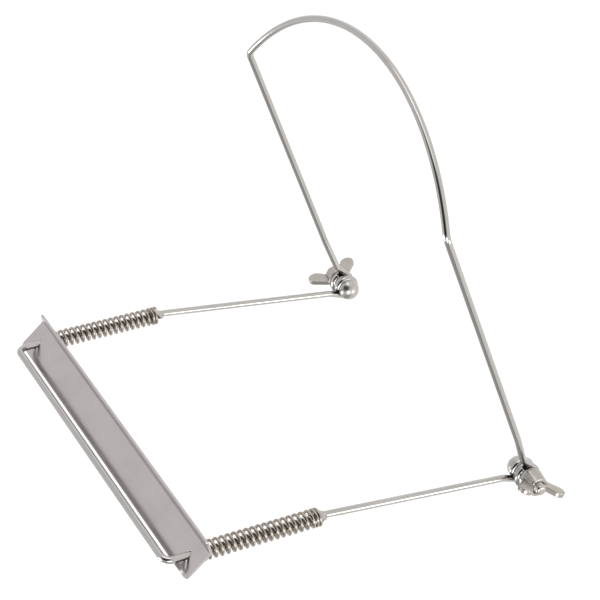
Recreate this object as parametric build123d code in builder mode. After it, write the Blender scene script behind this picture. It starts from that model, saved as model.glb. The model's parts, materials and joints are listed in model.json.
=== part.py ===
"""Neck-worn harmonica holder: a wire yoke, a swinging wire bail and a sprung clamp plate.

Frame: millimetres, +Z up, the wearer faces -Y and their left is +X. The origin is on the inner side
of the neck loop at its middle, where the loop rests on the back of the neck. Leans are angles from
+Z towards +Y about the hinge line, and "across" is measured square to a lean, towards -Y.
"""

import math
import os

from build123d import *

# Wire stock
wire_dia = 3.0

# Neck yoke
leg_length = 139.4
leg_lean = 68.6
leg_across = -0.5
leg_set = 2.5
leg_set_gap = 5.0
leg_set_run = 14.5
yoke_kink_radius = 4.0
yoke_set_radius = 12.0
shoulder_bend_radius = 5.0
shoulder_lead = 3.0
loop_lean = 103.0
loop_radius = 105.5

# Harmonica bail
arm_length = 94.0
arm_lean = 7.2
arm_across = 2.6
arm_splay = 2.0
arm_kink_gap = 4.2
arm_kink_radius = 6.0
arm_bend_radius = 12.0
bar_rise = 10.5
bar_corner_radius = 4.0

# Wire eyes around the hinge bolts
eye_spacing = 157.2
eye_wrap = 288.0
eye_clearance = 0.5

# Crimped ears that hold the springs' lower ends
ear_start = 0.9
ear_taper = 1.5
ear_length = 1.1
ear_overlap = 0.6
ear_thinning = 0.8

# Springs
spring_wire_dia = 1.3
spring_clearance = 1.3
spring_length = 52.25
spring_coils = 20
spring_seat_gap = 0.1

# Clamp plate, its face measured each way from the line through its two holes
plate_overhang = 8.6
plate_thickness = 1.0
plate_front = 6.95
plate_back = 7.65
plate_face_rise = 48.0
plate_lip_width = 5.2
plate_lip_rise = 13.0
plate_bend_radius = 1.6
plate_corner_radius = 2.0
guide_hole_clearance = 0.25

# Hinge hardware, its walls and overhangs measured from the bolt's surface
bolt_dia = 5.0
bolt_protrusion = 2.85
bolt_tip_radius = 1.4
head_overhang = 2.4
head_height = 5.4
head_skirt = 1.2
washer_overhang = 2.5
washer_clearance = 0.15
washer_thickness = 1.0
friction_washer_thickness = 1.2
nut_bore_clearance = 0.05
nut_relief_clearance = 0.6
nut_base_wall = 3.0
nut_top_wall = 1.8
nut_height = 6.5
wing_reach = 6.5
wing_height = 11.8
wing_thickness = 2.2
wing_lobe_radius = 3.2
wing_root_radius = 2.6
wing_root_offset = 0.5
wing_edge_radius = 0.6
nut_turn_left = 22.5
nut_turn_right = -15.0

# Gaps
side_play = 0.15
seat_gap = 0.05

# Worked out from the sizes above
wire_radius = wire_dia / 2
bolt_radius = bolt_dia / 2
eye_radius = bolt_radius + eye_clearance + wire_radius
leg_set_start = eye_radius + leg_set_gap
leg_set_end = leg_set_start + leg_set_run
arm_kink = eye_radius + arm_kink_gap
guide_spread = eye_spacing + 2 * arm_splay
plate_length = guide_spread + 2 * plate_overhang
spring_inner_dia = wire_dia + 2 * spring_clearance
spring_outer_dia = spring_inner_dia + 2 * spring_wire_dia
spring_radius = (spring_inner_dia + spring_wire_dia) / 2
ear_width = spring_inner_dia + 2 * ear_overlap
ear_thickness = wire_dia - ear_thinning
head_dia = bolt_dia + 2 * head_overhang
nut_base_dia = bolt_dia + 2 * nut_base_wall
nut_top_dia = bolt_dia + 2 * nut_top_wall
wing_span = nut_base_dia + 2 * wing_reach
wing_root_reach = bolt_radius + wing_root_offset

# Stack along each hinge bolt, outwards from under its head
head_seat = eye_spacing / 2 - wire_radius - side_play
friction_washer_inner = eye_spacing / 2 + wire_radius + side_play
yoke_eye_x = friction_washer_inner + friction_washer_thickness + seat_gap + wire_radius
nut_washer_inner = yoke_eye_x + wire_radius + seat_gap
nut_seat = nut_washer_inner + washer_thickness + seat_gap
bolt_length = nut_seat - head_seat + nut_height + bolt_protrusion
leg_spread = 2 * (yoke_eye_x + leg_set)


def direction(lean):
    """Unit vector at a lean, in the YZ plane."""
    return Vector(0, math.sin(math.radians(lean)), math.cos(math.radians(lean)))


def across_direction(lean):
    """Unit vector square to a lean, on the wearer's front side."""
    return Vector(0, -math.cos(math.radians(lean)), math.sin(math.radians(lean)))


# The loop leaves each shoulder at this angle from the line between the shoulders
shoulder_reach = math.hypot(loop_radius, shoulder_lead)
loop_half_angle = math.degrees(
    math.asin(leg_spread / 2 / shoulder_reach) - math.atan2(shoulder_lead, loop_radius)
)
loop_rise = shoulder_lead * math.sin(math.radians(loop_half_angle)) + loop_radius * (
    1 - math.cos(math.radians(loop_half_angle))
)

# The hinge line, as seen from the neck rest
pivot = (
    direction(loop_lean) * -(loop_rise + wire_radius)
    - direction(leg_lean) * leg_length
    - across_direction(leg_lean) * leg_across
)
guide_y = (
    pivot.Y
    + arm_length * math.sin(math.radians(arm_lean))
    - arm_across * math.cos(math.radians(arm_lean))
)
guide_base_z = (
    pivot.Z
    + arm_length * math.cos(math.radians(arm_lean))
    + arm_across * math.sin(math.radians(arm_lean))
)

# The plate's sloping face rests on the springs' upper ends, and the cross bar stands over it
spring_bottom_z = guide_base_z + ear_start + ear_taper + ear_length + spring_seat_gap
spring_top_z = spring_bottom_z + spring_length
face_slope = math.radians(plate_face_rise)
hole_z = spring_top_z + spring_seat_gap + spring_outer_dia / 2 * math.tan(face_slope)
bar_z = hole_z + bar_rise


def at_hinge(x, along, across, lean):
    """Point at a reach along a lean from the hinge line, and a distance across it."""
    point = pivot + direction(lean) * along + across_direction(lean) * across
    return Vector(x, point.Y, point.Z)


def eye_points(x, kink, across, lean, turn):
    """Free end, far side and tangent point of a wire eye that a kinked wire runs into.

    turn is +1 for an eye entered on its front side and -1 for one entered from behind.
    """
    reach = math.hypot(kink, across)
    entry = math.degrees(math.atan2(across, kink) + turn * math.acos(eye_radius / reach))
    points = []
    for wrap in (eye_wrap, eye_wrap / 2, 0):
        angle = math.radians(entry + turn * wrap)
        points.append(at_hinge(x, eye_radius * math.cos(angle), eye_radius * math.sin(angle), lean))
    return points


def yoke_side(side):
    """Eye, kink, leg and shoulder bend of the yoke on one side."""
    eye = eye_points(side * yoke_eye_x, leg_set_start, leg_across, leg_lean, -1)
    ThreePointArc(*eye)
    leg_x = side * leg_spread / 2
    kink_point = at_hinge(side * yoke_eye_x, leg_set_start, leg_across, leg_lean)
    set_point = at_hinge(leg_x, leg_set_end, leg_across, leg_lean)
    shoulder = at_hinge(leg_x, leg_length, leg_across, leg_lean)
    FilletPolyline(
        eye[2],
        kink_point,
        set_point,
        shoulder,
        loop_end(side),
        radius=(yoke_kink_radius, yoke_set_radius, shoulder_bend_radius),
    )


def loop_end(side):
    """Point where the neck loop's arc meets the short straight after a shoulder bend."""
    half_angle = math.radians(loop_half_angle)
    shoulder = at_hinge(side * leg_spread / 2, leg_length, leg_across, leg_lean)
    inward = Vector(-side * math.cos(half_angle), 0, 0)
    return shoulder + (inward + direction(loop_lean) * math.sin(half_angle)) * shoulder_lead


def bail_side(side):
    """Eye, kink and arm of the bail on one side."""
    eye = eye_points(side * eye_spacing / 2, arm_kink, arm_across, arm_lean, 1)
    ThreePointArc(*eye)
    return [
        eye[2],
        at_hinge(side * eye_spacing / 2, arm_kink, arm_across, arm_lean),
        Vector(side * guide_spread / 2, guide_y, guide_base_z),
        Vector(side * guide_spread / 2, guide_y, bar_z),
    ]


def side_name(side):
    """The wearer's side that a side sign stands for."""
    return "left" if side > 0 else "right"


def hinge_plane(side, offset):
    """Plane square to the hinge line, facing outwards, at a distance from the middle."""
    return Plane(origin=(side * offset, pivot.Y, pivot.Z), x_dir=(0, 1, 0), z_dir=(side, 0, 0))


def wing_plane(side, offset, turn):
    """Plane through the hinge line with x outwards and y along a wing turned from +Z."""
    wing = direction(turn)
    outwards = Vector(side, 0, 0)
    return Plane(
        origin=(side * offset, pivot.Y, pivot.Z), x_dir=outwards, z_dir=outwards.cross(wing)
    )


os.makedirs("parts", exist_ok=True)


# Neck yoke: one wire, eye to eye round the neck
with BuildPart() as neck_yoke:
    with BuildLine() as yoke_line:
        yoke_side(1)
        ThreePointArc(loop_end(1), direction(loop_lean) * -wire_radius, loop_end(-1))
        yoke_side(-1)
    yoke_start = eye_points(yoke_eye_x, leg_set_start, leg_across, leg_lean, -1)[0]
    with BuildSketch(Plane(origin=yoke_start, z_dir=yoke_line.wire() % 0)):
        Circle(wire_radius)
    sweep()
neck_yoke.part.label = "neck_yoke"
export_step(neck_yoke.part, "parts/neck_yoke.step")


# Harmonica bail: one wire, eye to eye round the cross bar, with a crimp under each spring
with BuildPart() as harp_bail:
    with BuildLine() as bail_line:
        left_run = bail_side(1)
        right_run = bail_side(-1)
        side_radii = (arm_kink_radius, arm_bend_radius, bar_corner_radius)
        FilletPolyline(*left_run, *reversed(right_run), radius=side_radii + side_radii[::-1])
    bail_start = eye_points(eye_spacing / 2, arm_kink, arm_across, arm_lean, 1)[0]
    with BuildSketch(Plane(origin=bail_start, z_dir=bail_line.wire() % 0)):
        Circle(wire_radius)
    sweep()
    for side in (1, -1):
        ear_origin = Vector(side * guide_spread / 2, guide_y, guide_base_z + ear_start)
        with BuildSketch(Plane(origin=ear_origin)):
            Circle(wire_radius)
        with BuildSketch(Plane(origin=ear_origin + Vector(0, 0, ear_taper))):
            Ellipse(ear_width / 2, ear_thickness / 2)
        loft()
        with BuildSketch(Plane(origin=ear_origin + Vector(0, 0, ear_taper))):
            Ellipse(ear_width / 2, ear_thickness / 2)
        extrude(amount=ear_length)
harp_bail.part.label = "harp_bail"
export_step(harp_bail.part, "parts/harp_bail.step")


# Clamp plate: a strip folded once, sliding on the bail's two upright wires
with BuildPart() as clamp_plate:
    face_along = Vector(0, math.cos(face_slope), -math.sin(face_slope))
    lip_slope = math.radians(plate_lip_rise)
    lip_along = Vector(0, math.cos(lip_slope), math.sin(lip_slope))
    hole_centre = Vector(0, guide_y, hole_z)
    fold = hole_centre + face_along * plate_back
    with BuildSketch(Plane(origin=(0, 0, 0), x_dir=(0, 1, 0), z_dir=(1, 0, 0))) as plate_section:
        with BuildLine():
            front_edge = hole_centre - face_along * plate_front
            lip_edge = fold + lip_along * plate_lip_width
            FilletPolyline(
                (front_edge.Y, front_edge.Z),
                (fold.Y, fold.Z),
                (lip_edge.Y, lip_edge.Z),
                radius=plate_bend_radius,
            )
            offset(amount=plate_thickness, side=Side.LEFT)
        make_face()
    extrude(amount=plate_length / 2, both=True)
    corners = clamp_plate.edges().filter_by(
        lambda edge: edge.geom_type == GeomType.LINE
        and abs(edge.length - plate_thickness) < seat_gap
        and abs(abs(edge.center().X) - plate_length / 2) < seat_gap
    )
    fillet(corners, plate_corner_radius)
    with BuildSketch(Plane.XY.offset(hole_z)):
        with Locations((guide_spread / 2, guide_y), (-guide_spread / 2, guide_y)):
            Circle(wire_radius + guide_hole_clearance)
    extrude(amount=plate_front + plate_back, both=True, mode=Mode.SUBTRACT)
clamp_plate.part.label = "clamp_plate"
export_step(clamp_plate.part, "parts/clamp_plate.step")


# Springs on the bail's upright wires, from the crimped ears to the plate
for side in (1, -1):
    with BuildPart() as spring:
        with BuildLine() as coil:
            Helix(
                pitch=(spring_length - spring_wire_dia) / spring_coils,
                height=spring_length - spring_wire_dia,
                radius=spring_radius,
                center=(
                    side * guide_spread / 2,
                    guide_y,
                    spring_bottom_z + spring_wire_dia / 2,
                ),
            )
        with BuildSketch(Plane(origin=coil.line @ 0, z_dir=coil.line % 0)):
            Circle(spring_wire_dia / 2)
        sweep(is_frenet=True)
    spring_name = f"spring_{side_name(side)}"
    spring.part.label = spring_name
    export_step(spring.part, f"parts/{spring_name}.step")


# Dome-headed bolts, the hinge pins, with their heads on the inner sides
for side in (1, -1):
    with BuildPart() as bolt:
        dome_rise = head_height - head_skirt
        dome_radius = ((head_dia / 2) ** 2 + dome_rise**2) / (2 * dome_rise)
        dome_centre = dome_radius - head_height
        half_turn = math.asin(head_dia / 2 / dome_radius) / 2
        if dome_rise > dome_radius:
            half_turn = math.pi / 2 - half_turn
        with BuildSketch(wing_plane(side, head_seat, 0)):
            with BuildLine():
                Polyline((-head_height, 0), (0, 0), (0, head_dia / 2), (-head_skirt, head_dia / 2))
                ThreePointArc(
                    (-head_skirt, head_dia / 2),
                    (
                        dome_centre - dome_radius * math.cos(half_turn),
                        dome_radius * math.sin(half_turn),
                    ),
                    (-head_height, 0),
                )
            make_face()
        revolve(axis=Axis((0, pivot.Y, pivot.Z), (1, 0, 0)))
        with BuildSketch(hinge_plane(side, head_seat)):
            Circle(bolt_radius)
        extrude(amount=bolt_length)
        fillet(bolt.faces().sort_by(Axis.X)[-1 if side > 0 else 0].edges(), bolt_tip_radius)
    bolt_name = f"bolt_{side_name(side)}"
    bolt.part.label = bolt_name
    export_step(bolt.part, f"parts/{bolt_name}.step")


# Washers: one between the two eyes, one under the wing nut
for side in (1, -1):
    for washer_name, inner_face, thickness in (
        ("friction_washer", friction_washer_inner, friction_washer_thickness),
        ("nut_washer", nut_washer_inner, washer_thickness),
    ):
        with BuildPart() as washer:
            with BuildSketch(hinge_plane(side, inner_face)):
                Circle(bolt_radius + washer_overhang)
                Circle(bolt_radius + washer_clearance, mode=Mode.SUBTRACT)
            extrude(amount=thickness)
        node_name = f"{washer_name}_{side_name(side)}"
        washer.part.label = node_name
        export_step(washer.part, f"parts/{node_name}.step")


# Wing nuts
for side, turn in ((1, nut_turn_left), (-1, nut_turn_right)):
    with BuildPart() as wing_nut:
        with BuildSketch(hinge_plane(side, nut_seat)):
            Circle(nut_base_dia / 2)
        with BuildSketch(hinge_plane(side, nut_seat + nut_height)):
            Circle(nut_top_dia / 2)
        loft()
        for wing_side in (1, -1):
            with BuildSketch(wing_plane(side, nut_seat, turn)):
                with Locations(
                    (
                        wing_height - wing_lobe_radius,
                        wing_side * (wing_span / 2 - wing_lobe_radius),
                    )
                ):
                    Circle(wing_lobe_radius)
                with Locations((wing_root_radius + seat_gap, wing_side * wing_root_reach)):
                    Circle(wing_root_radius)
                make_hull()
            extrude(amount=wing_thickness / 2, both=True)
        fillet(
            wing_nut.edges().filter_by(
                lambda edge: edge.geom_type == GeomType.CIRCLE
                and abs(edge.radius - wing_lobe_radius) < seat_gap
            ),
            wing_edge_radius,
        )
        with BuildSketch(hinge_plane(side, nut_seat)):
            Circle(bolt_radius + nut_bore_clearance)
        extrude(amount=wing_height, mode=Mode.SUBTRACT)
        with BuildSketch(hinge_plane(side, nut_seat + nut_height)):
            Circle(bolt_radius + nut_relief_clearance)
        extrude(amount=wing_height - nut_height, mode=Mode.SUBTRACT)
    nut_name = f"wing_nut_{side_name(side)}"
    wing_nut.part.label = nut_name
    export_step(wing_nut.part, f"parts/{nut_name}.step")
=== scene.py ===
"""Visual model of a neck-worn harmonica holder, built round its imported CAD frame.

Everything is in metres in the CAD model's frame: +Z up, the wearer faces -Y, their left is +X, and
the origin is where the neck loop rests on the neck. Leans are angles from +Z towards +Y about the
hinge line, and "across" is measured square to a lean, towards -Y.
"""

from __future__ import annotations

import json
import logging
import math
from dataclasses import dataclass
from enum import Enum
from typing import Callable, Sequence

import bmesh
import bpy
from mathutils import Matrix, Vector


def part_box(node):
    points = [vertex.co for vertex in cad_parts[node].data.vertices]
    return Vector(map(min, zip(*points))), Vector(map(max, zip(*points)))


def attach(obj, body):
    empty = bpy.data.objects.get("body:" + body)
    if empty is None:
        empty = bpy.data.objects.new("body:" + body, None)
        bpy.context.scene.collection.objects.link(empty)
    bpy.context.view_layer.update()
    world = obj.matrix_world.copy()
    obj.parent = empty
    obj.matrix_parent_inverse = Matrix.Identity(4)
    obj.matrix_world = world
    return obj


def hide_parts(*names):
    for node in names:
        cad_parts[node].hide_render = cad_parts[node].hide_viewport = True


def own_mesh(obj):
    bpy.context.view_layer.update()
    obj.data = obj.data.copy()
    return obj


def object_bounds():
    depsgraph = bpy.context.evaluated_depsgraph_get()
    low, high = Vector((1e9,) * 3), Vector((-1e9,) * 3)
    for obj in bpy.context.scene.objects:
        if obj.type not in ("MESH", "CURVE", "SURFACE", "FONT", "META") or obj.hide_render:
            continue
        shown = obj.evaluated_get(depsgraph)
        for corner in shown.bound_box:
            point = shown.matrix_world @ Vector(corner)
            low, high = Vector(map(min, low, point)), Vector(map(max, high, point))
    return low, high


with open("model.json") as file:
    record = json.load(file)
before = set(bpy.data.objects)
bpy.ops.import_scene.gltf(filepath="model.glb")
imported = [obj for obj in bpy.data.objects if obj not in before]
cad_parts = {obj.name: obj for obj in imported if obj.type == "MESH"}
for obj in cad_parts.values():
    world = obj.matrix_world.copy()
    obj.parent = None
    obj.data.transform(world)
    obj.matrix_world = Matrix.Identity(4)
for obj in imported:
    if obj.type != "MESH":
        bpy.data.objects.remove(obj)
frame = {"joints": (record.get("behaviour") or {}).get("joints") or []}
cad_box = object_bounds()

log = logging.getLogger("harmonica_holder")

MM = 0.001
WIRE_MAP = "WireMap"
# Edges of turned and stamped pieces that turn by more degrees than this stay sharp
CRISP_ANGLE = 50.0
# Share of a wire's radius that the rounding of its sheared end takes
SHEARED_ROUNDING = 0.16


class Side(Enum):
    """The wearer's side that a piece is on, as its sign along X."""

    LEFT = 1
    RIGHT = -1

    @property
    def label(self) -> str:
        """The side's word in node names."""
        return self.name.lower()


class Slot(Enum):
    """The record's material slots."""

    WIRE = "plated_wire"
    SHEET = "plated_sheet"
    SPRING = "spring_wire"
    HARDWARE = "plated_hardware"


# Geometry helpers


def direction(lean: float) -> Vector:
    """Unit vector at a lean in degrees, in the YZ plane."""
    return Vector((0, math.sin(math.radians(lean)), math.cos(math.radians(lean))))


def across_direction(lean: float) -> Vector:
    """Unit vector square to a lean in degrees, on the wearer's front side."""
    return Vector((0, -math.cos(math.radians(lean)), math.sin(math.radians(lean))))


def heading(azimuth: float, elevation: float) -> Vector:
    """Unit vector at an azimuth from +X towards +Y and an elevation, both in degrees.

    Args:
        azimuth: Turn from +X towards +Y.
        elevation: Rise above level.

    Returns:
        The unit vector.
    """
    turn, rise = math.radians(azimuth), math.radians(elevation)
    flat = Vector((math.cos(turn), math.sin(turn), 0))
    return flat * math.cos(rise) + Vector((0, 0, math.sin(rise)))


def smooth_step(value: float) -> float:
    """Eased 0 to 1 ramp of a value, clamped at both ends."""
    value = min(max(value, 0.0), 1.0)
    return value * value * (3 - 2 * value)


def arc_points(centre: Vector, start: Vector, axis: Vector, angle: float, step: float) -> list[Vector]:
    """Points along a circular arc, its start and end included.

    Args:
        centre: Centre of the circle.
        start: First point of the arc.
        axis: Unit axis that the arc turns about.
        angle: Angle turned, in radians.
        step: Largest angle between two points, in radians.

    Returns:
        The points in order.
    """
    count = max(2, math.ceil(abs(angle) / step))
    spoke = start - centre
    return [centre + Matrix.Rotation(angle * k / count, 3, axis) @ spoke for k in range(count + 1)]


def rounded_run(corners: Sequence[Vector], radii: Sequence[float], step: float) -> list[Vector]:
    """Points along straight runs joined by tangent arcs.

    Args:
        corners: The corner points, ends included.
        radii: One bend radius for each inner corner.
        step: Largest angle between two points of an arc, in radians.

    Returns:
        The points in order, both ends included.
    """
    points = [corners[0].copy()]
    for before, corner, after, radius in zip(corners, corners[1:], corners[2:], radii):
        into = (corner - before).normalized()
        out = (after - corner).normalized()
        turn = into.angle(out)
        if turn < 1e-6 or radius <= 0:
            points.append(corner.copy())
            continue
        start = corner - into * (radius * math.tan(turn / 2))
        axis = into.cross(out).normalized()
        points += arc_points(start + axis.cross(into) * radius, start, axis, turn, step)
    points.append(corners[-1].copy())
    return points


def joined(*runs: Sequence[Vector]) -> list[Vector]:
    """Several runs of points as one, without the points that repeat at the joins."""
    points: list[Vector] = []
    for point in (point for run in runs for point in run):
        if not points or (point - points[-1]).length > 1e-7:
            points.append(point)
    return points


def distances_along(points: Sequence[Vector]) -> list[float]:
    """Distance of each point from the first one, along the line.

    Args:
        points: The line's points.

    Returns:
        One distance for each point, the first being nothing.
    """
    total = [0.0]
    for before, point in zip(points, points[1:]):
        total.append(total[-1] + (point - before).length)
    return total


def divided(points: Sequence[Vector], start: float, end: float, step: float) -> list[Vector]:
    """A line of points with extra ones where its section changes.

    Args:
        points: The line's points.
        start: Distance along the line where the extra points begin.
        end: Distance along the line where they end.
        step: Their spacing.

    Returns:
        The line with points every step between start and end.
    """
    along = distances_along(points)
    result = [points[0]]
    for k in range(1, len(points)):
        before, after = along[k - 1], along[k]
        mark = start
        while mark <= end:
            if before + step / 4 < mark < after - step / 4:
                result.append(points[k - 1].lerp(points[k], (mark - before) / (after - before)))
            mark += step
        result.append(points[k])
    return result


def new_piece(name: str, mesh_data: bmesh.types.BMesh, sharp_angle: float = 35.0) -> bpy.types.Object:
    """A smooth-shaded object made from a bmesh, which this frees.

    Args:
        name: Name of the piece.
        mesh_data: Its mesh, in the row frame.
        sharp_angle: Edges that turn by more than this many degrees stay sharp.

    Returns:
        The linked object.
    """
    bmesh.ops.recalc_face_normals(mesh_data, faces=mesh_data.faces)
    mesh = bpy.data.meshes.new(name)
    mesh_data.to_mesh(mesh)
    mesh_data.free()
    mesh.shade_smooth()
    mesh.set_sharp_from_angle(angle=math.radians(sharp_angle))
    piece = bpy.data.objects.new(name, mesh)
    bpy.context.scene.collection.objects.link(piece)
    return piece


def with_modifiers_applied(piece: bpy.types.Object) -> bpy.types.Object:
    """Bakes a piece's modifiers into its mesh.

    Args:
        piece: The piece.

    Returns:
        The same piece, with no modifiers left.
    """
    bpy.context.view_layer.update()
    evaluated = piece.evaluated_get(bpy.context.evaluated_depsgraph_get())
    mesh = bpy.data.meshes.new_from_object(evaluated)
    piece.modifiers.clear()
    piece.data = mesh
    mesh.name = piece.name
    return piece


def dress(
    piece: bpy.types.Object, finish: bpy.types.Material, body: str, nodes: Sequence[str]
) -> bpy.types.Object:
    """Gives a piece its finish, its body and the CAD nodes it stands for.

    Args:
        piece: The finished piece.
        finish: Its material.
        body: The CAD body that it rides on.
        nodes: The CAD nodes that it replaces.

    Returns:
        The piece.
    """
    piece.data.materials.clear()
    piece.data.materials.append(finish)
    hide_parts(*nodes)
    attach(piece, body)
    log.info("%s: %d faces on %s", piece.name, len(piece.data.polygons), body)
    return piece


def swept_wire(
    name: str,
    points: Sequence[Vector],
    section: Callable[[float], tuple[float, float]],
    reference: Vector,
    around: int = 28,
) -> bpy.types.Object:
    """A wire swept along a line, with rounded ends and a map of its length and girth in metres.

    Args:
        name: Name of the piece.
        points: The centreline.
        section: Half-sizes of the section, along and square to the reference, at a distance.
        reference: Direction of the section's first axis at the start.
        around: Points round the section.

    Returns:
        The piece.
    """
    along = distances_along(points)
    last = len(points) - 1
    tangents = [
        (points[min(k + 1, last)] - points[max(k - 1, 0)]).normalized() for k in range(last + 1)
    ]
    built = bmesh.new()
    across = (reference - tangents[0] * reference.dot(tangents[0])).normalized()
    rings = []
    marks = []
    rounding = section(0.0)[0] * SHEARED_ROUNDING
    cap_angles = [math.pi / 2 * k / 4 for k in range(5)]

    def add_ring(centre: Vector, tangent: Vector, half: tuple[float, float], mark: float) -> None:
        """Adds one ring of the section.

        Args:
            centre: The ring's centre.
            tangent: Unit direction of the wire there.
            half: Half-sizes of the section.
            mark: Distance along the wire, for the map.
        """
        second = tangent.cross(across)
        ring = []
        for turn in range(around):
            angle = 2 * math.pi * turn / around
            first_part = across * (half[0] * math.cos(angle))
            second_part = second * (half[1] * math.sin(angle))
            ring.append(built.verts.new(centre + first_part + second_part))
        rings.append(ring)
        marks.append(mark)

    for k, (point, tangent) in enumerate(zip(points, tangents)):
        if k:
            across = tangents[k - 1].rotation_difference(tangent) @ across
            across = (across - tangent * across.dot(tangent)).normalized()
        half = section(along[k])
        if 0 < k < last:
            add_ring(point, tangent, half, along[k])
            continue
        inward, order = (tangent, cap_angles) if k == 0 else (-tangent, cap_angles[::-1])
        for angle in order:
            inset = rounding * (1 - math.sin(angle))
            shift = inward * (rounding * (1 - math.cos(angle)))
            add_ring(point + shift, tangent, (half[0] - inset, half[1] - inset), along[k])
    map_layer = built.loops.layers.uv.new(WIRE_MAP)
    girth = 2 * math.pi * max(section(0.0))
    for lower, upper, low_mark, high_mark in zip(rings, rings[1:], marks, marks[1:]):
        for k in range(around):
            following = (k + 1) % around
            face = built.faces.new((lower[k], lower[following], upper[following], upper[k]))
            places = ((k, low_mark), (k + 1, low_mark), (k + 1, high_mark), (k, high_mark))
            for loop, (turn, mark) in zip(face.loops, places):
                loop[map_layer].uv = (girth * turn / around, mark)
    built.faces.new(rings[0])
    built.faces.new(rings[-1])
    return new_piece(name, built)


def turned_ring(
    built: bmesh.types.BMesh, place: Matrix, distance: float, radii: Sequence[float]
) -> list[bmesh.types.BMVert]:
    """Adds one ring of a turned solid, or one point where it has no radius.

    Args:
        built: The mesh.
        place: Moves the axis from +X to where the solid stands.
        distance: The ring's distance along the axis.
        radii: Its radius at each of its points.

    Returns:
        The ring's points.
    """
    if max(radii) < 1e-9:
        return [built.verts.new(place @ Vector((distance, 0, 0)))]
    ring = []
    for k, radius in enumerate(radii):
        angle = 2 * math.pi * k / len(radii)
        spot = Vector((distance, radius * math.cos(angle), radius * math.sin(angle)))
        ring.append(built.verts.new(place @ spot))
    return ring


def skin(
    built: bmesh.types.BMesh, rings: Sequence[Sequence[bmesh.types.BMVert]], around: int
) -> None:
    """Joins each ring to the next with faces, which meet where a ring is one point.

    Args:
        built: The mesh.
        rings: The rings in order.
        around: Points round a whole ring.
    """
    for lower, upper in zip(rings, rings[1:]):
        for k in range(around):
            following = (k + 1) % around
            corners = [lower[k % len(lower)], lower[following % len(lower)]]
            corners += [upper[following % len(upper)], upper[k % len(upper)]]
            built.faces.new(list(dict.fromkeys(corners)))


def lathed(
    built: bmesh.types.BMesh, profile: Sequence[Vector], place: Matrix, around: int = 72
) -> None:
    """Adds a closed turned solid to a mesh.

    Args:
        built: The mesh.
        profile: Points (distance along the axis, radius, 0); where it starts and ends off the
            axis, the profile closes on itself as a ring.
        place: Moves the axis from +X to where the solid stands.
        around: Points round the axis.
    """
    rings = [turned_ring(built, place, point.x, [point.y] * around) for point in profile]
    if len(rings[0]) > 1:
        rings.append(rings[0])
    skin(built, rings, around)


def add_cut(piece: bpy.types.Object, cutter: bpy.types.Object, name: str) -> None:
    """Adds a modifier that cuts another object's shape out of a piece.

    Args:
        piece: The piece that is cut.
        cutter: The shape that is taken away.
        name: The modifier's name.
    """
    cut = piece.modifiers.new(name, "BOOLEAN")
    cut.operation = "DIFFERENCE"
    cut.object = cutter
    cut.solver = "EXACT"


def joint_named(name: str) -> dict:
    """The frame's joint of that name."""
    return next(joint for joint in frame["joints"] if joint["name"] == name)


# Materials


def linear_colour(code: str) -> tuple[float, float, float, float]:
    """An sRGB hex colour such as "#C8C2BA" as linear RGBA.

    Args:
        code: The colour's hex code.

    Returns:
        Red, green, blue and a full alpha.
    """
    channels = [int(code[k : k + 2], 16) / 255 for k in (1, 3, 5)]
    linear = [c / 12.92 if c <= 0.04045 else ((c + 0.055) / 1.055) ** 2.4 for c in channels]
    return (*linear, 1.0)


def add_node(
    tree: bpy.types.NodeTree,
    kind: str,
    settings: dict[str | int, object] | None = None,
    links: dict[str | int, bpy.types.NodeSocket] | None = None,
) -> bpy.types.Node:
    """Adds a node with its settings and links.

    Args:
        tree: The node tree.
        kind: The node's type name.
        settings: Property values by property name, and socket values by socket name or number.
        links: Sockets to link to this node's inputs, by input name or number.

    Returns:
        The new node.
    """
    node = tree.nodes.new(kind)
    for key, value in (settings or {}).items():
        if isinstance(key, str) and hasattr(node, key):
            setattr(node, key, value)
        else:
            node.inputs[key].default_value = value
    for key, source in (links or {}).items():
        tree.links.new(source, node.inputs[key])
    return node


def empty_material(name: str) -> tuple[bpy.types.Material, bpy.types.NodeTree]:
    """A new material with an empty node tree.

    Args:
        name: The material's name.

    Returns:
        The material and its node tree.
    """
    material = bpy.data.materials.new(name)
    material.use_nodes = True
    material.node_tree.nodes.clear()
    return material, material.node_tree


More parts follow.
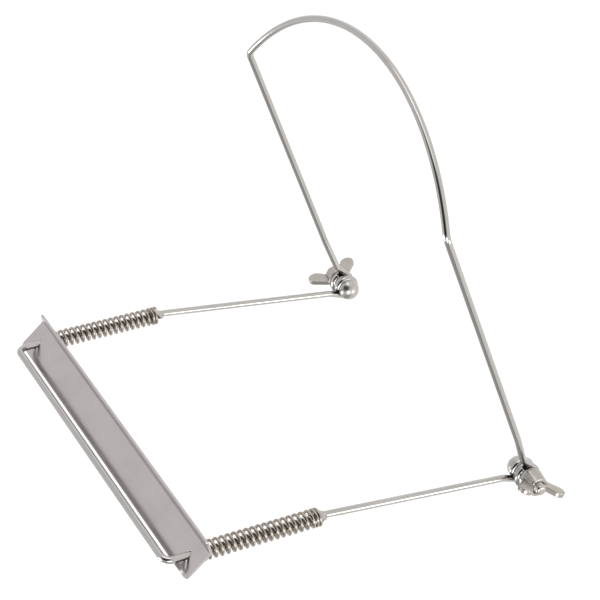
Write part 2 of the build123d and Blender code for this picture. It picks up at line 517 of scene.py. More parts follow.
@dataclass(frozen=True)
class NickelFinish:
    """Bright nickel plate over steel. Nickel is a warm light grey metal.

    The plate follows what is under it: die lines along drawn wire, rolling lines on strip, and a
    faint orange peel on cast or cold-headed pieces. The bath leaves slow clouds in its gloss.
    """

    name: str
    nickel: str = "#BCBAB8"
    clouded: str = "#ABA8A5"
    roughness: float = 0.13
    roughness_spread: float = 0.09
    cloud_size: float = 11.0 * MM
    grain_size: tuple[float, float, float] = (0.25 * MM, 0.25 * MM, 0.25 * MM)
    grain_height: float = 0.004 * MM
    grain_gloss: float = 0.05
    worn: str = "#B9B2A8"
    worn_share: float = 0.25
    edge_from: float = 0.53
    edge_to: float = 0.62
    along_wire: bool = False

    def build(self) -> bpy.types.Material:
        """The finish as a material.

        Returns:
            The material.
        """
        material, tree = empty_material(self.name)
        place = add_node(tree, "ShaderNodeTexCoord").outputs["Object"]
        grain_place = place
        if self.along_wire:
            grain_place = add_node(tree, "ShaderNodeUVMap", {"uv_map": WIRE_MAP}).outputs["UV"]
        clouds = add_node(
            tree,
            "ShaderNodeTexNoise",
            {"Scale": 1 / self.cloud_size, "Detail": 3.0, "Roughness": 0.55},
            {"Vector": place},
        )
        stretched = add_node(
            tree,
            "ShaderNodeMapping",
            {"Scale": tuple(1 / size for size in self.grain_size)},
            {"Vector": grain_place},
        )
        grain = add_node(
            tree,
            "ShaderNodeTexNoise",
            {"Scale": 1.0, "Detail": 2.0, "Roughness": 0.5},
            {"Vector": stretched.outputs["Vector"]},
        )
        # Convex edges are where the plate is rubbed thin and the steel's duller grey comes up
        edges = add_node(tree, "ShaderNodeNewGeometry").outputs["Pointiness"]
        wear = add_node(
            tree,
            "ShaderNodeMapRange",
            {"From Min": self.edge_from, "From Max": self.edge_to, "To Max": self.worn_share},
            {"Value": edges},
        )
        clouded = add_node(
            tree,
            "ShaderNodeMix",
            {"data_type": "RGBA", 6: linear_colour(self.nickel), 7: linear_colour(self.clouded)},
            {0: clouds.outputs["Fac"]},
        )
        colour = add_node(
            tree,
            "ShaderNodeMix",
            {"data_type": "RGBA", 7: linear_colour(self.worn)},
            {0: wear.outputs["Result"], 6: clouded.outputs[2]},
        )
        slow_gloss = add_node(
            tree,
            "ShaderNodeMapRange",
            {
                "From Min": 0.3,
                "From Max": 0.7,
                "To Min": self.roughness - self.roughness_spread / 2,
                "To Max": self.roughness + self.roughness_spread / 2,
            },
            {"Value": clouds.outputs["Fac"]},
        )
        gloss = add_node(
            tree,
            "ShaderNodeMath",
            {"operation": "MULTIPLY_ADD", 1: self.grain_gloss},
            {0: grain.outputs["Fac"], 2: slow_gloss.outputs["Result"]},
        )
        relief = add_node(
            tree,
            "ShaderNodeBump",
            {"Strength": 1.0, "Distance": self.grain_height},
            {"Height": grain.outputs["Fac"]},
        )
        shader = add_node(
            tree,
            "ShaderNodeBsdfPrincipled",
            {"Metallic": 1.0},
            {
                "Base Color": colour.outputs[2],
                "Roughness": gloss.outputs["Value"],
                "Normal": relief.outputs["Normal"],
            },
        )
        add_node(tree, "ShaderNodeOutputMaterial", links={"Surface": shader.outputs["BSDF"]})
        return material


@dataclass(frozen=True)
class PaperFloorFinish:
    """White background paper, matt, with a fibre texture too fine to see past its softness."""

    name: str = "white_background_paper"
    paper: str = "#F4F3F1"
    fibre_size: float = 0.8 * MM
    fibre_height: float = 0.02 * MM

    def build(self) -> bpy.types.Material:
        """The paper as a material.

        Returns:
            The material.
        """
        material, tree = empty_material(self.name)
        place = add_node(tree, "ShaderNodeTexCoord").outputs["Object"]
        fibres = add_node(
            tree,
            "ShaderNodeTexNoise",
            {"Scale": 1 / self.fibre_size, "Detail": 2.0},
            {"Vector": place},
        )
        relief = add_node(
            tree,
            "ShaderNodeBump",
            {"Strength": 0.3, "Distance": self.fibre_height},
            {"Height": fibres.outputs["Fac"]},
        )
        shader = add_node(
            tree,
            "ShaderNodeBsdfPrincipled",
            {"Base Color": linear_colour(self.paper), "Roughness": 0.9},
            {"Normal": relief.outputs["Normal"]},
        )
        add_node(tree, "ShaderNodeOutputMaterial", links={"Surface": shader.outputs["BSDF"]})
        return material


# Nickel on drawn wire: the drawing die leaves lines 0.2 mm apart that run for many millimetres
WIRE_FINISH = NickelFinish(
    name="bright_nickel_drawn_wire",
    grain_size=(0.2 * MM, 18.0 * MM, 1.0),
    grain_height=0.003 * MM,
    along_wire=True,
)
# Nickel on hard spring wire, which stays darker and browner because its temper oxide shows through
SPRING_FINISH = NickelFinish(
    name="dull_nickel_spring_wire",
    nickel="#B7B0A7",
    clouded="#998F86",
    roughness=0.22,
    cloud_size=6.0 * MM,
    grain_size=(0.15 * MM, 6.0 * MM, 1.0),
    grain_height=0.004 * MM,
    along_wire=True,
)
# Nickel on cold-rolled strip: rolling lines run along the strip and the flat faces cloud softly
SHEET_FINISH = NickelFinish(
    name="bright_nickel_rolled_strip",
    nickel="#C3BDBD",
    clouded="#B4AEAE",
    roughness=0.2,
    roughness_spread=0.08,
    cloud_size=16.0 * MM,
    grain_size=(14.0 * MM, 0.22 * MM, 0.22 * MM),
    grain_height=0.0035 * MM,
)
# Nickel on cold-headed and turned steel: the brightest pieces, with only a trace of tool marks
TURNED_FINISH = NickelFinish(
    name="bright_nickel_turned_steel",
    nickel="#BDBAB5",
    roughness=0.26,
    cloud_size=4.0 * MM,
    grain_size=(0.12 * MM, 1.5 * MM, 1.5 * MM),
    grain_height=0.002 * MM,
)
# Nickel on a die-cast nut: the casting's faint orange peel softens its reflections
CAST_FINISH = NickelFinish(
    name="bright_nickel_die_casting",
    nickel="#B5B1AC",
    clouded="#A19D96",
    roughness=0.24,
    cloud_size=5.0 * MM,
    grain_size=(0.7 * MM, 0.7 * MM, 0.7 * MM),
    grain_height=0.012 * MM,
)


# Sub-assemblies


@dataclass
class Hinge:
    """The hinge line that the bail swings about, and the stack of pieces along it."""

    wire_dia: float = 3.0 * MM
    eye_spacing: float = 157.2 * MM
    eye_radius: float = 4.5 * MM
    eye_wrap: float = 288.0
    side_play: float = 0.15 * MM
    seat_gap: float = 0.05 * MM
    friction_washer_thickness: float = 1.2 * MM
    washer_thickness: float = 1.0 * MM
    bend_step: float = math.radians(5.0)

    def __post_init__(self) -> None:
        """Reads the hinge line from the frame's swing joint."""
        swing = joint_named("bail_swing")
        self.centre = Vector(swing["pos_m"])
        self.wire_radius = self.wire_dia / 2
        self.yoke_eye_x = (
            self.eye_spacing / 2
            + self.wire_radius * 2
            + self.side_play
            + self.friction_washer_thickness
            + self.seat_gap
        )
        self.head_seat = self.eye_spacing / 2 - self.wire_radius - self.side_play
        self.nut_seat = (
            self.yoke_eye_x + self.wire_radius + self.washer_thickness + 2 * self.seat_gap
        )

    def point(self, x: float, along: float, across: float, lean: float) -> Vector:
        """Point at a reach along a lean from the hinge line, and a distance across it."""
        place = self.centre + direction(lean) * along + across_direction(lean) * across
        return Vector((x, place.y, place.z))

    def eye(self, x: float, kink: float, across: float, lean: float, turn: int) -> list[Vector]:
        """A wire eye round the hinge line, from its free end to where the wire leaves it.

        Args:
            x: The eye's place along the hinge line.
            kink: Reach along the lean to the kink that the eye's end heads for.
            across: The kink's distance across the lean.
            lean: Lean of the wire, in degrees.
            turn: +1 for an eye entered on its front side, -1 for one entered from behind.

        Returns:
            Points along the eye.
        """
        reach = math.hypot(kink, across)
        entry = math.atan2(across, kink) + turn * math.acos(self.eye_radius / reach)
        angle = entry + turn * math.radians(self.eye_wrap)
        start = self.point(
            x, self.eye_radius * math.cos(angle), self.eye_radius * math.sin(angle), lean
        )
        spin = direction(lean).cross(across_direction(lean))
        centre = Vector((x, self.centre.y, self.centre.z))
        return arc_points(
            centre, start, spin, -turn * math.radians(self.eye_wrap), self.bend_step
        )

    def outwards(self, side: Side, offset: float, turn: float = 0.0) -> Matrix:
        """Placement with +X outwards along the hinge line and +Y along a wing's turn from +Z.

        Args:
            side: The wearer's side.
            offset: Distance of the placement's origin from the middle.
            turn: Angle of +Y from the row's +Z towards +Y, in degrees.

        Returns:
            The placement's matrix.
        """
        out = Vector((side.value, 0, 0))
        wing = direction(turn)
        third = out.cross(wing)
        origin = Vector((side.value * offset, self.centre.y, self.centre.z))
        basis = Matrix((out, wing, third)).transposed().to_4x4()
        return Matrix.Translation(origin) @ basis


@dataclass
class NeckYoke:
    """The wire round the neck: an eye, a leg and a shoulder bend on each side, and the loop."""

    hinge: Hinge
    leg_length: float = 139.4 * MM
    leg_lean: float = 68.6
    leg_across: float = -0.5 * MM
    leg_spread: float = 171.0 * MM
    leg_set_start: float = 9.5 * MM
    leg_set_end: float = 24.0 * MM
    kink_radius: float = 4.0 * MM
    set_radius: float = 12.0 * MM
    shoulder_radius: float = 5.0 * MM
    shoulder_lead: float = 3.0 * MM
    loop_lean: float = 103.0
    loop_radius: float = 105.5 * MM
    loop_step: float = math.radians(1.2)

    def loop_end(self, side: Side) -> Vector:
        """Where the neck loop's arc meets the short straight after a shoulder bend.

        Args:
            side: The wearer's side.

        Returns:
            The point on that side.
        """
        half_angle = self.half_angle()
        shoulder = self.hinge.point(
            side.value * self.leg_spread / 2, self.leg_length, self.leg_across, self.leg_lean
        )
        inward = Vector((-side.value * math.cos(half_angle), 0, 0))
        lift = direction(self.loop_lean) * math.sin(half_angle)
        return shoulder + (inward + lift) * self.shoulder_lead

    def half_angle(self) -> float:
        """Half the angle that the neck loop's arc turns through, in radians.

        Returns:
            The half angle.
        """
        reach = math.hypot(self.loop_radius, self.shoulder_lead)
        lead_angle = math.atan2(self.shoulder_lead, self.loop_radius)
        return math.asin(self.leg_spread / 2 / reach) - lead_angle

    def side_run(self, side: Side) -> list[Vector]:
        """Points from the free end of one eye to the start of the neck loop's arc.

        Args:
            side: The wearer's side.

        Returns:
            The points in order.
        """
        eye_x = side.value * self.hinge.yoke_eye_x
        leg_x = side.value * self.leg_spread / 2
        eye = self.hinge.eye(eye_x, self.leg_set_start, self.leg_across, self.leg_lean, -1)
        leg = rounded_run(
            (
                eye[-1],
                self.hinge.point(eye_x, self.leg_set_start, self.leg_across, self.leg_lean),
                self.hinge.point(leg_x, self.leg_set_end, self.leg_across, self.leg_lean),
                self.hinge.point(leg_x, self.leg_length, self.leg_across, self.leg_lean),
                self.loop_end(side),
            ),
            (self.kink_radius, self.set_radius, self.shoulder_radius),
            self.hinge.bend_step,
        )
        return joined(eye, leg)

    def loop(self) -> list[Vector]:
        """Points along the neck loop, from the left shoulder to the right one.

        Returns:
            The points in order.
        """
        start = self.loop_end(Side.LEFT)
        half_angle = self.half_angle()
        up = direction(self.loop_lean)
        top = start.y / up.y if abs(up.y) > abs(up.z) else start.z / up.z
        centre = up * (top - self.loop_radius * math.cos(half_angle))
        axis = up.cross(Vector((1, 0, 0))).normalized()
        return arc_points(centre, start, -axis, 2 * half_angle, self.loop_step)

    def build(self) -> bpy.types.Object:
        """The yoke as one swept wire.

        Returns:
            The yoke's wire.
        """
        right = list(reversed(self.side_run(Side.RIGHT)))
        points = joined(self.side_run(Side.LEFT), self.loop(), right)
        radius = self.hinge.wire_radius
        return swept_wire(
            "neck_yoke_wire",
            points,
            lambda distance: (radius, radius),
            Vector((1, 0, 0)),
        )


@dataclass
class HarpBail:
    """The wire that carries the harmonica: eyes, arms, the springs' guides and the cross bar."""

    hinge: Hinge
    arm_length: float = 94.0 * MM
    arm_lean: float = 7.2
    arm_across: float = 2.6 * MM
    arm_kink: float = 8.7 * MM
    kink_radius: float = 6.0 * MM
    guide_bend_radius: float = 12.0 * MM
    guide_spread: float = 161.2 * MM
    guide_length: float = 71.0 * MM
    corner_radius: float = 4.0 * MM
    ear_start: float = 0.9 * MM
    ear_taper: float = 1.5 * MM
    ear_length: float = 1.1 * MM
    ear_width: float = 6.8 * MM
    ear_thickness: float = 2.2 * MM
    ear_step: float = 0.15 * MM

    def __post_init__(self) -> None:
        """Works out where the guides stand."""
        base = self.hinge.point(0, self.arm_length, self.arm_across, self.arm_lean)
        self.guide_y = base.y
        self.guide_base_z = base.z
        self.bar_z = base.z + self.guide_length

    def eye(self, side: Side) -> list[Vector]:
        """Points along one eye."""
        x = side.value * self.hinge.eye_spacing / 2
        return self.hinge.eye(x, self.arm_kink, self.arm_across, self.arm_lean, 1)

    def corners(self, side: Side) -> list[Vector]:
        """Corner points of one side, from its eye to the cross bar.

        Args:
            side: The wearer's side.

        Returns:
            The four corner points in order.
        """
        x = side.value * self.hinge.eye_spacing / 2
        guide_x = side.value * self.guide_spread / 2
        return [
            self.eye(side)[-1],
            self.hinge.point(x, self.arm_kink, self.arm_across, self.arm_lean),
            Vector((guide_x, self.guide_y, self.guide_base_z)),
            Vector((guide_x, self.guide_y, self.bar_z)),
        ]

    def ear_share(self, rise: float) -> float:
        """How far the wire is pinched into ears, 0 to 1, at a height over the guide's foot.

        Args:
            rise: Height over the guide's foot.

        Returns:
            The share, 0 for plain wire and 1 for the full ears.
        """
        top = self.ear_start + self.ear_taper + self.ear_length
        into = smooth_step((rise - self.ear_start) / self.ear_taper)
        out = smooth_step((top + self.ear_taper / 3 - rise) / (self.ear_taper / 3))
        return into * out

    def build(self) -> bpy.types.Object:
        """The bail as one swept wire, pinched under each spring.

        Returns:
            The bail's wire.
        """
        radii = (self.kink_radius, self.guide_bend_radius, self.corner_radius)
        corners = self.corners(Side.LEFT) + self.corners(Side.RIGHT)[::-1]
        frame_run = rounded_run(corners, radii + radii[::-1], self.hinge.bend_step)
        points = joined(self.eye(Side.LEFT), frame_run, list(reversed(self.eye(Side.RIGHT))))
        along = distances_along(points)
        total = along[-1]
        foot = self.foot_distance(points, along)
        ears_end = self.ear_start + self.ear_taper * 2 + self.ear_length
        points = divided(points, foot, foot + ears_end, self.ear_step)
        points = divided(points, total - foot - ears_end, total - foot, self.ear_step)
        radius = self.hinge.wire_radius

        def section(distance: float) -> tuple[float, float]:
            """Half-sizes of the wire's section, along and across the ears.

            Args:
                distance: Distance along the wire.

            Returns:
                The two half-sizes there.
            """
            share = self.ear_share(min(distance, total - distance) - foot)
            wide = radius + (self.ear_width / 2 - radius) * share
            thin = radius + (self.ear_thickness / 2 - radius) * share
            return wide, thin

        return swept_wire("harp_bail_wire", points, section, Vector((1, 0, 0)))

    def foot_distance(self, points: Sequence[Vector], along: Sequence[float]) -> float:
        """Distance along the wire to the left guide's foot.

        Args:
            points: The wire's points.
            along: Their distances.

        Returns:
            The distance at which the left guide passes its foot's height.
        """
        x = self.guide_spread / 2
        for k in range(1, len(points)):
            on_guide = abs(points[k].x - x) < self.hinge.seat_gap
            if on_guide and points[k].z > self.guide_base_z + self.guide_length / 2:
                return along[k] - (points[k].z - self.guide_base_z)
        raise ValueError("the bail's wire has no left guide")


@dataclass
class GuideSpring:
    """A compression spring on one of the bail's guides, closed at both ends."""

    side: Side
    wire_dia: float = 1.3 * MM
    lower_closed_turns: float = 2.0
    upper_closed_turns: float = 1.0
    open_turns: float = 17.5
    closed_gap: float = 0.06 * MM
    easing_turns: float = 0.35
    end_turn: float = 0.25
    points_per_turn: int = 30

    def build(self) -> bpy.types.Object:
        """The spring, filling its CAD node's box.

        Returns:
            The spring's coil.
        """
        low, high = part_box(f"spring_{self.side.label}")
        centre = (low + high) / 2
        radius = (high.x - low.x - self.wire_dia) / 2
        closed_pitch = self.wire_dia + self.closed_gap
        turns = self.lower_closed_turns + self.open_turns + self.upper_closed_turns
        closed_rise = (self.lower_closed_turns + self.upper_closed_turns) * closed_pitch
        rise = high.z - low.z - self.wire_dia
        open_pitch = (rise - closed_rise) / self.open_turns
        count = int(turns * self.points_per_turn)
        heights = [0.0]
        for k in range(count):
            turn = turns * (k + 0.5) / count
            into = smooth_step((turn - self.lower_closed_turns) / self.easing_turns + 0.5)
            out = smooth_step((turns - self.upper_closed_turns - turn) / self.easing_turns + 0.5)
            pitch = closed_pitch + (open_pitch - closed_pitch) * into * out
            heights.append(heights[-1] + pitch * turns / count)
        scale = rise / heights[-1]
        floor_z = low.z + self.wire_dia / 2
        points = []
        for k, height in enumerate(heights):
            angle = 2 * math.pi * (turns * k / count + self.end_turn * self.side.value - turns)
            spoke = Vector((math.cos(angle), math.sin(angle), 0)) * radius
            points.append(Vector((centre.x, centre.y, floor_z + height * scale)) + spoke)
        half = self.wire_dia / 2
        return swept_wire(
            f"spring_{self.side.label}_coil",
            points,
            lambda distance: (half, half),
            Vector((0, 0, 1)),
            around=14,
        )


@dataclass
class ClampPlate:
    """A steel strip folded once along its length and pierced for the bail's two guides."""

    bail: HarpBail
    length: float = 178.4 * MM
    thickness: float = 1.0 * MM
    face_rise: float = 48.0
    lip_rise: float = 13.0
    front: float = 6.95 * MM
    back: float = 7.65 * MM
    lip_width: float = 5.2 * MM
    bend_radius: float = 1.6 * MM
    corner_radius: float = 2.0 * MM
    hole_clearance: float = 0.25 * MM
    edge_rounding: float = 0.16 * MM
    bend_rows: int = 14
    drill_facets: int = 60

    def section(self, hole_z: float) -> list[Vector]:
        """Underside of the strip's section, as points (Y, Z, 0) from its front edge to its lip.

        Args:
            hole_z: Height where the underside crosses the guides' line.

        Returns:
            The points, with the bend as a fine arc.
        """
        slope = math.radians(self.face_rise)
        lip = math.radians(self.lip_rise)
        face_along = Vector((math.cos(slope), -math.sin(slope), 0))
        lip_along = Vector((math.cos(lip), math.sin(lip), 0))
        hole = Vector((self.bail.guide_y, hole_z, 0))
        fold = hole + face_along * self.back
        step = (slope + lip) / self.bend_rows
        return rounded_run(
            (hole - face_along * self.front, fold, fold + lip_along * self.lip_width),
            (self.bend_radius,),
            step,
        )

    def hole_height(self) -> float:
        """Height where the plate's underside crosses the guides' line, from the CAD node's box.

        Returns:
            The height in the row frame.
        """
        _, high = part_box("clamp_plate")
        slope = math.radians(self.face_rise)
        top_corner = self.thickness * math.cos(slope)
        return high.z - top_corner - self.front * math.sin(slope)

    def outline(self, built: bmesh.types.BMesh, width: float) -> None:
        """Adds the strip's flat outline to a mesh, X along the strip and Y across it.

        Args:
            built: The mesh.
            width: The strip's width along its section.
        """
        half = self.length / 2
        middle = Vector((0, 0, 0))
        corners = [Vector((half, 0, 0)), Vector((half, width, 0))]
        corners += [Vector((-half, width, 0)), Vector((-half, 0, 0))]
        radii = (self.corner_radius,) * 4
        rim = joined(rounded_run([middle, *corners, middle], radii, math.radians(9.0)))[:-1]
        made = [built.verts.new(point) for point in rim]
        edges = [
            built.edges.new((corner, made[(k + 1) % len(made)])) for k, corner in enumerate(made)
        ]
        bmesh.ops.triangle_fill(built, use_beauty=True, edges=edges)

    def hole_cutter(self, hole_z: float) -> bpy.types.Object:
        """Two upright drills, as the holes run along the guides and not square to the sheet.

        Args:
            hole_z: Height where the underside crosses the guides' line.

        Returns:
            The drills as one object.
        """
        bore = self.bail.hinge.wire_radius + self.hole_clearance
        reach = self.front
        drill = [Vector((0, 0, 0)), Vector((0, bore, 0))]
        drill += [Vector((2 * reach, bore, 0)), Vector((2 * reach, 0, 0))]
        built = bmesh.new()
        for side in Side:
            guide_x = side.value * self.bail.guide_spread / 2
            foot = Vector((guide_x, self.bail.guide_y, hole_z - reach))
            upright = Matrix.Translation(foot) @ Matrix.Rotation(-math.pi / 2, 4, "Y")
            lathed(built, drill, upright, self.drill_facets)
        return new_piece("guide_hole_cutter", built)

    def folded(self, hole_z: float) -> bpy.types.Object:
        """The strip's underside, folded from its flat outline.

        Args:
            hole_z: Height where the underside crosses the guides' line.

        Returns:
            The underside, with its faces turned up.
        """
        section = self.section(hole_z)
        along = distances_along(section)
        built = bmesh.new()
        self.outline(built, along[-1])
        for mark in along[1:-1]:
            bmesh.ops.bisect_plane(
                built,
                geom=built.verts[:] + built.edges[:] + built.faces[:],
                dist=1e-7,
                plane_co=(0, mark, 0),
                plane_no=(0, 1, 0),
            )
        for corner in built.verts:
            place = corner.co.y
            k = next(n for n in range(1, len(along)) if place <= along[n] + 1e-7)
            share = (place - along[k - 1]) / (along[k] - along[k - 1])
            spot = section[k - 1].lerp(section[k], share)
            corner.co = Vector((corner.co.x, spot.x, spot.y))
        bmesh.ops.recalc_face_normals(built, faces=built.faces)
        if sum(face.normal.z for face in built.faces) < 0:
            bmesh.ops.reverse_faces(built, faces=built.faces)
        mesh = bpy.data.meshes.new("clamp_plate_strip")
        built.to_mesh(mesh)
        built.free()
        piece = bpy.data.objects.new("clamp_plate_strip", mesh)
        bpy.context.scene.collection.objects.link(piece)
        return piece

    def build(self) -> bpy.types.Object:
        """The plate: the folded strip, thickened upwards, drilled and deburred.

        Returns:
            The plate.
        """
        hole_z = self.hole_height()
        piece = self.folded(hole_z)
        thicken = piece.modifiers.new("sheet thickness", "SOLIDIFY")
        thicken.thickness = self.thickness
        thicken.offset = 1.0
        thicken.use_even_offset = True
        cutter = self.hole_cutter(hole_z)
        add_cut(piece, cutter, "guide holes")
        soften = piece.modifiers.new("deburred edges", "BEVEL")
        soften.width = self.edge_rounding
        soften.segments = 3
        soften.limit_method = "ANGLE"
        soften.angle_limit = math.radians(50.0)
        with_modifiers_applied(piece)
        bpy.data.objects.remove(cutter)
        piece.data.shade_smooth()
        piece.data.set_sharp_from_angle(angle=math.radians(60.0))
        shading = piece.modifiers.new("flat faces", "WEIGHTED_NORMAL")
        shading.keep_sharp = True
        shading.weight = 100
        return piece


@dataclass
class HingeBolt:
    """A dome-headed bolt, threaded to its head, with its head on the inner side of the joint."""

    hinge: Hinge
    side: Side
    thread_dia: float = 5.0 * MM
    length: float = 18.0 * MM
    tip_radius: float = 1.4 * MM
    head_dia: float = 9.8 * MM
    head_height: float = 5.4 * MM
    head_skirt: float = 1.2 * MM
    head_rounding: float = 0.25 * MM
    pitch: float = 0.8 * MM
    thread_depth: float = 0.49 * MM
    half_crest_share: float = 1 / 16
    flank_share: float = 5 / 16
    run_out_lead: float = 0.6
    neck: float = 0.5 * MM
    fade: float = 0.8 * MM
    rows_per_pitch: int = 10
    around: int = 48

    def thread_radius(self, distance: float, angle: float) -> float:
        """Radius of the threaded shank.

        Args:
            distance: Distance from under the head.
            angle: Angle round the bolt, in radians.

        Returns:
            The radius there, rounded off at the tip.
        """
        phase = (distance / self.pitch - angle / (2 * math.pi)) % 1.0
        off_crest = abs(phase - 0.5) - self.half_crest_share
        height = min(max(off_crest / self.flank_share, 0.0), 1.0)
        run_in = smooth_step((distance - self.neck) / self.fade)
        to_tip = self.length - self.tip_radius - distance
        run_out = smooth_step(to_tip / self.fade + self.run_out_lead)
        radius = self.thread_dia / 2 - self.thread_depth * height * run_in * run_out
        if to_tip < 0:
            drop = self.tip_radius - math.sqrt(max(self.tip_radius**2 - to_tip**2, 0.0))
            radius = min(radius, self.thread_dia / 2 - drop)
        return radius

    def head_profile(self) -> list[Vector]:
        """Points of the head from its dome's middle to its seat.

        Returns:
            The points in order.
        """
        rise = self.head_height - self.head_skirt
        radius = ((self.head_dia / 2) ** 2 + rise**2) / (2 * rise)
        centre = Vector((radius - self.head_height, 0, 0))
        reach = math.atan2(self.head_dia / 2, centre.x + self.head_skirt)
        dome = arc_points(
            centre, Vector((-self.head_height, 0, 0)), Vector((0, 0, -1)), reach, math.radians(4.0)
        )
        dome[0].y = 0.0
        skirt = rounded_run(
            (dome[-1], Vector((0, self.head_dia / 2, 0)), Vector((0, self.thread_dia / 2, 0))),
            (self.head_rounding,),
            math.radians(15.0),
        )
        return joined(dome, skirt)

    def build(self) -> bpy.types.Object:
        """The bolt as one mesh.

        Returns:
            The bolt.
        """
        place = self.hinge.outwards(self.side, self.hinge.head_seat)
        built = bmesh.new()
        rings = [
            turned_ring(built, place, point.x, [point.y] * self.around)
            for point in self.head_profile()
        ]
        rows = round(self.length / self.pitch * self.rows_per_pitch)
        for row in range(1, rows):
            distance = self.length * row / rows
            radii = [
                self.thread_radius(distance, 2 * math.pi * k / self.around)
                for k in range(self.around)
            ]
            rings.append(turned_ring(built, place, distance, radii))
        for radius in (self.thread_dia / 2 - self.tip_radius, 0.0):
            rings.append(turned_ring(built, place, self.length, [radius] * self.around))
        skin(built, rings, self.around)
        return new_piece(f"bolt_{self.side.label}_threaded", built, CRISP_ANGLE)


@dataclass
class StampedWasher:
    """A plain washer, blanked from strip, so its upper rim is rounded and its lower rim crisp."""

    hinge: Hinge
    side: Side
    node: str
    outer_dia: float = 10.0 * MM
    bore_dia: float = 5.3 * MM
    rounding: float = 0.22 * MM
    burr: float = 0.06 * MM

    def build(self) -> bpy.types.Object:
        """The washer, as thick and where its CAD node's box says.

        Returns:
            The washer.
        """
        low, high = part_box(f"{self.node}_{self.side.label}")
        inner = min(abs(low.x), abs(high.x))
        thickness = high.x - low.x
        outer, bore = self.outer_dia / 2, self.bore_dia / 2
        middle = Vector((0, (self.outer_dia + self.bore_dia) / 4, 0))
        rims = ((0, outer), (thickness, outer), (thickness, bore), (0, bore))
        corners = [middle, *(Vector((*rim, 0)) for rim in rims), middle]
        radii = (self.burr, self.rounding, self.rounding, self.burr)
        profile = joined(rounded_run(corners, radii, math.radians(18.0)))[:-1]
        built = bmesh.new()
        lathed(built, profile, self.hinge.outwards(self.side, inner))
        return new_piece(f"{self.node}_{self.side.label}_stamped", built, CRISP_ANGLE)


@dataclass
class WingNut:
    """A die-cast wing nut: a conical boss with two lobed wings that lean outwards."""

    hinge: Hinge
    side: Side
    turn: float
    thread_dia: float = 5.0 * MM
    bore_clearance: float = 0.05 * MM
    base_dia: float = 11.0 * MM
    top_dia: float = 8.6 * MM
    height: float = 6.5 * MM
    relief_clearance: float = 0.6 * MM
    rim_rounding: float = 0.5 * MM
    wing_span: float = 24.0 * MM
    wing_height: float = 11.8 * MM
    wing_thickness: float = 2.2 * MM
    lobe_radius: float = 3.2 * MM
    root_radius: float = 2.6 * MM
    root_reach: float = 3.0 * MM
    arc_steps: int = 24
    bore_facets: int = 48
    voxel: float = 0.17 * MM
    smoothing: int = 8

    def wing(self, built: bmesh.types.BMesh, place: Matrix, sign: int) -> None:
        """Adds one wing to a mesh, as a thick lobed outline.

        Args:
            built: The mesh.
            place: The nut's placement.
            sign: +1 or -1 for the wing's side of the nut.
        """
        lobe = Vector((self.wing_height - self.lobe_radius, self.wing_span / 2 - self.lobe_radius))
        root = Vector((self.root_radius + self.hinge.seat_gap, self.root_reach))
        gap = root - lobe
        bearing = math.atan2(gap.y, gap.x)
        spread = math.acos((self.lobe_radius - self.root_radius) / gap.length)
        outline = []
        for centre, radius, start, end in (
            (lobe, self.lobe_radius, bearing + spread, bearing + 2 * math.pi - spread),
            (root, self.root_radius, bearing - spread, bearing + spread),
        ):
            for k in range(self.arc_steps + 1):
                angle = start + (end - start) * k / self.arc_steps
                outline.append(centre + Vector((math.cos(angle), math.sin(angle))) * radius)
        half = self.wing_thickness / 2
        lower, upper = (
            [built.verts.new(place @ Vector((spot.x, sign * spot.y, depth))) for spot in outline]
            for depth in (-half, half)
        )
        skin(built, (lower, upper), len(outline))
        built.faces.new(lower)
        built.faces.new(upper)

    def build(self) -> bpy.types.Object:
        """The nut, cast in one with soft roots and rims, and then bored.

        Returns:
            The nut.
        """
        place = self.hinge.outwards(self.side, self.hinge.nut_seat, self.turn)
        built = bmesh.new()
        boss = rounded_run(
            (
                Vector((0, 0, 0)),
                Vector((0, self.base_dia / 2, 0)),
                Vector((self.height, self.top_dia / 2, 0)),
                Vector((self.height, 0, 0)),
            ),
            (self.rim_rounding / 2, self.rim_rounding),
            math.radians(15.0),
        )
        lathed(built, boss, place)
        for sign in (1, -1):
            self.wing(built, place, sign)
        piece = new_piece(f"wing_nut_{self.side.label}_cast", built)
        cast = piece.modifiers.new("cast in one", "REMESH")
        cast.mode = "VOXEL"
        cast.voxel_size = self.voxel
        cast.use_smooth_shade = True
        soften = piece.modifiers.new("soft roots and rims", "SMOOTH")
        soften.factor = 0.5
        soften.iterations = self.smoothing
        with_modifiers_applied(piece)
        cutter_mesh = bmesh.new()
        bore = self.thread_dia / 2 + self.bore_clearance
        relief = self.thread_dia / 2 + self.relief_clearance
        margin = 1.0 * MM
        chamfer = relief - bore
        top = self.wing_height + margin
        steps = ((-margin, 0), (-margin, relief), (0, relief), (chamfer, bore))
        steps += ((self.height - chamfer, bore), (self.height, relief), (top, relief), (top, 0))
        lathed(cutter_mesh, [Vector((*step, 0)) for step in steps], place, self.bore_facets)
        cutter = new_piece("bore_cutter", cutter_mesh)
        add_cut(piece, cutter, "bored for the thread")
        with_modifiers_applied(piece)
        bpy.data.objects.remove(cutter)
        piece.data.shade_smooth()
        piece.data.set_sharp_from_angle(angle=math.radians(35.0))
        return piece


# Studio


def hang_light(light: bpy.types.Light, place: Vector, away: Vector) -> bpy.types.Object:
    """Hangs a light where it lights the holder but isn't seen itself.

    Args:
        light: The light.
        place: Where it hangs.
        away: Unit vector from what it lights towards it.

    Returns:
        The light object.
    """
    lamp = bpy.data.objects.new(light.name, light)
    lamp.location = place
    lamp.rotation_mode = "QUATERNION"
    lamp.rotation_quaternion = away.to_track_quat("Z", "Y")
    lamp.visible_camera = False
    bpy.context.scene.collection.objects.link(lamp)
    return lamp


